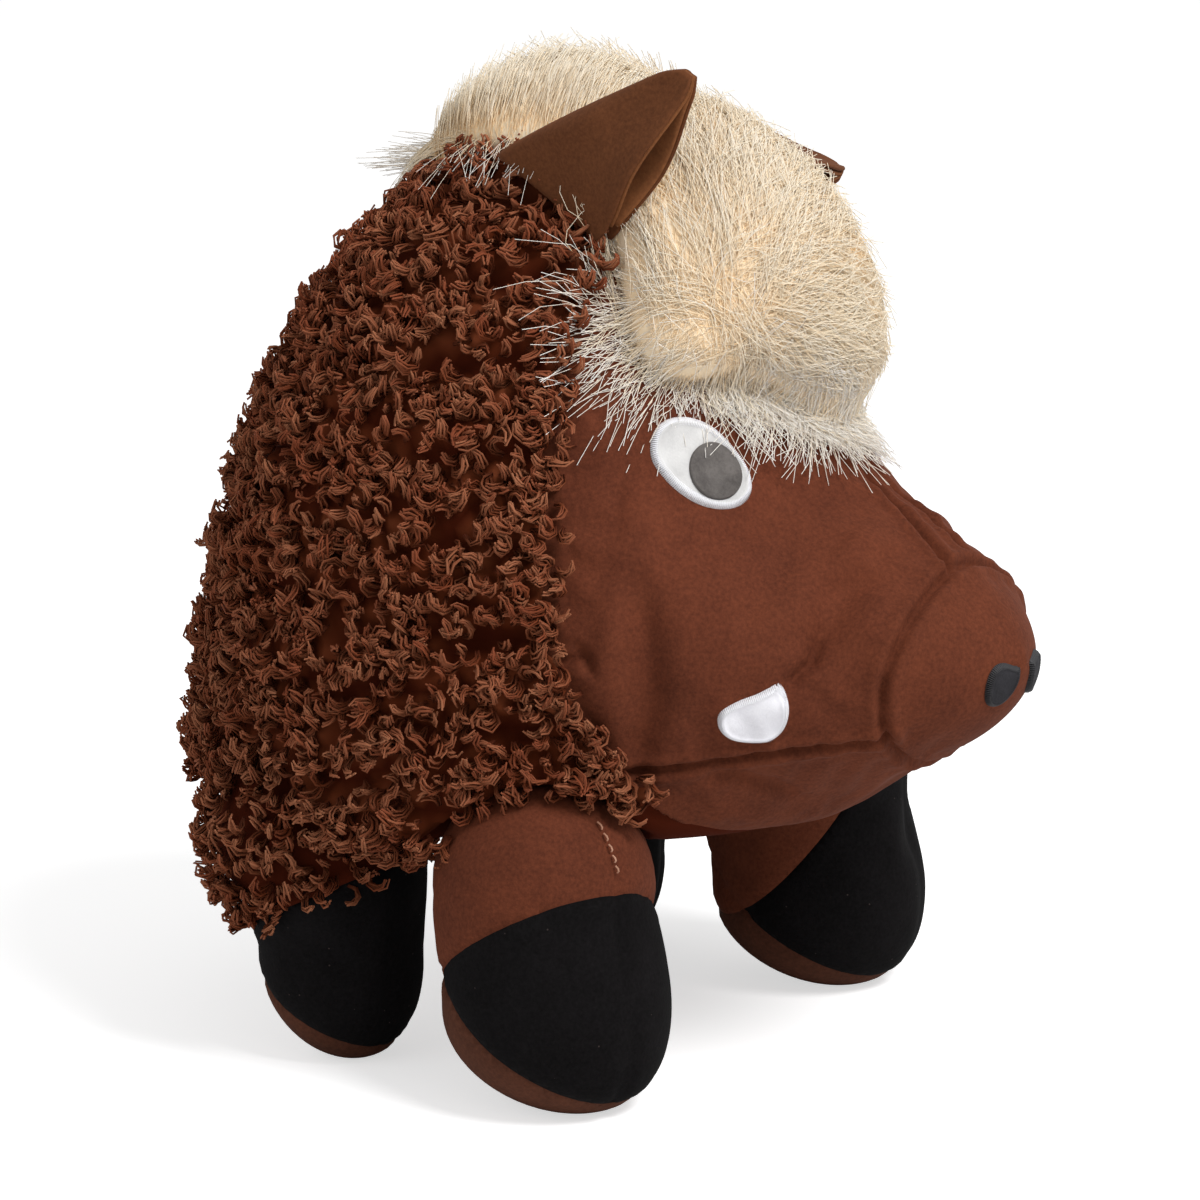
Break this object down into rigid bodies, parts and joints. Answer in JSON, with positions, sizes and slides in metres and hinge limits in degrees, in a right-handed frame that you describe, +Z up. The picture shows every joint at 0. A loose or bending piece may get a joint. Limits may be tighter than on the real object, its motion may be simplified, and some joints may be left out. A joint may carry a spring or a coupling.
{
  "type": "plush warthog dog toy",
  "caption": "Plush warthog dog toy on short stuffed legs, with a curly fleece coat, smooth snout, sewn-on eyes and tusks, folded ears, long-pile mane and a squeaker inside.",
  "frame": {"origin": "on the floor under the middle of the toy's box", "axes": "+X to the nose, +Y to the toy's left, +Z up"},
  "size_m": [0.2412, 0.1952, 0.2708],
  "materials": {
    "curly_fleece": "dark brown curly pile, matt",
    "brown_velour": "short brushed nap with a soft sheen",
    "black_velour": "short black nap, matt",
    "sole_velour": "short brown nap, matt",
    "ear_lining": "lighter brown nap, matt",
    "long_pile_fur": "cream long-pile faux fur",
    "white_felt": "white felt, matt",
    "dark_felt": "charcoal felt, matt",
    "fibre_stuffing": "white fibre, matt",
    "squeaker_plastic": "soft blow-moulded plastic",
    "reed_plastic": "hard moulded plastic"
  },
  "bodies": {
    "torso": {"fleece_panel_right": "curly_fleece", "fleece_panel_left": "curly_fleece", "belly_panel": "brown_velour", "cheek_panel_right": "brown_velour", "cheek_panel_left": "brown_velour", "bridge_gusset": "brown_velour", "chin_gusset": "brown_velour", "nose_cap": "brown_velour", "eye_white_right": "white_felt", "eye_white_left": "white_felt", "eye_pupil_right": "dark_felt", "eye_pupil_left": "dark_felt", "tusk_right": "white_felt", "tusk_left": "white_felt", "nostril_right": "dark_felt", "nostril_left": "dark_felt", "mane_forelock": "long_pile_fur", "mane_crest": "long_pile_fur", "body_stuffing_right": "fibre_stuffing", "body_stuffing_left": "fibre_stuffing", "head_stuffing": "fibre_stuffing", "squeaker_bulb": "squeaker_plastic", "squeaker_reed_plug": "reed_plastic"},
    "ear_right": {"ear_right_outer": "brown_velour", "ear_right_lining": "ear_lining"},
    "ear_left": {"ear_left_outer": "brown_velour", "ear_left_lining": "ear_lining"},
    "front_leg_right": {"front_leg_right_sleeve": "brown_velour", "front_leg_right_hoof": "black_velour", "front_leg_right_sole": "sole_velour", "front_leg_right_stuffing": "fibre_stuffing"},
    "front_leg_left": {"front_leg_left_sleeve": "brown_velour", "front_leg_left_hoof": "black_velour", "front_leg_left_sole": "sole_velour", "front_leg_left_stuffing": "fibre_stuffing"},
    "rear_leg_right": {"rear_leg_right_sleeve": "curly_fleece", "rear_leg_right_hoof": "black_velour", "rear_leg_right_sole": "sole_velour", "rear_leg_right_stuffing": "fibre_stuffing"},
    "rear_leg_left": {"rear_leg_left_sleeve": "curly_fleece", "rear_leg_left_hoof": "black_velour", "rear_leg_left_sole": "sole_velour", "rear_leg_left_stuffing": "fibre_stuffing"}
  },
  "joints": [
    {"name": "front_hip_right", "type": "hinge", "parent": "torso", "child": "front_leg_right", "pos_m": [0.01561, -0.0675, 0.058], "axis": [0, 1, 0], "range_deg": [-15, 10], "stiffness_Nm_per_rad": 0.5},
    {"name": "front_hip_left", "type": "hinge", "parent": "torso", "child": "front_leg_left", "pos_m": [0.01561, 0.0675, 0.058], "axis": [0, 1, 0], "range_deg": [-15, 10], "stiffness_Nm_per_rad": 0.5},
    {"name": "rear_hip_right", "type": "hinge", "parent": "torso", "child": "rear_leg_right", "pos_m": [-0.05839, -0.065, 0.06], "axis": [0, 1, 0], "range_deg": [-10, 15], "stiffness_Nm_per_rad": 0.5},
    {"name": "rear_hip_left", "type": "hinge", "parent": "torso", "child": "rear_leg_left", "pos_m": [-0.05839, 0.065, 0.06], "axis": [0, 1, 0], "range_deg": [-10, 15], "stiffness_Nm_per_rad": 0.5},
    {"name": "ear_flop_right", "type": "hinge", "parent": "torso", "child": "ear_right", "pos_m": [0.0017, -0.03785, 0.23444], "axis": [0.8715, -0.1853, -0.454], "range_deg": [-7, 93], "stiffness_Nm_per_rad": 0.03},
    {"name": "ear_flop_left", "type": "hinge", "parent": "torso", "child": "ear_left", "pos_m": [0.0017, 0.03785, 0.23444], "axis": [-0.8715, -0.1853, 0.454], "range_deg": [-100, 0], "stiffness_Nm_per_rad": 0.03}
  ]
}
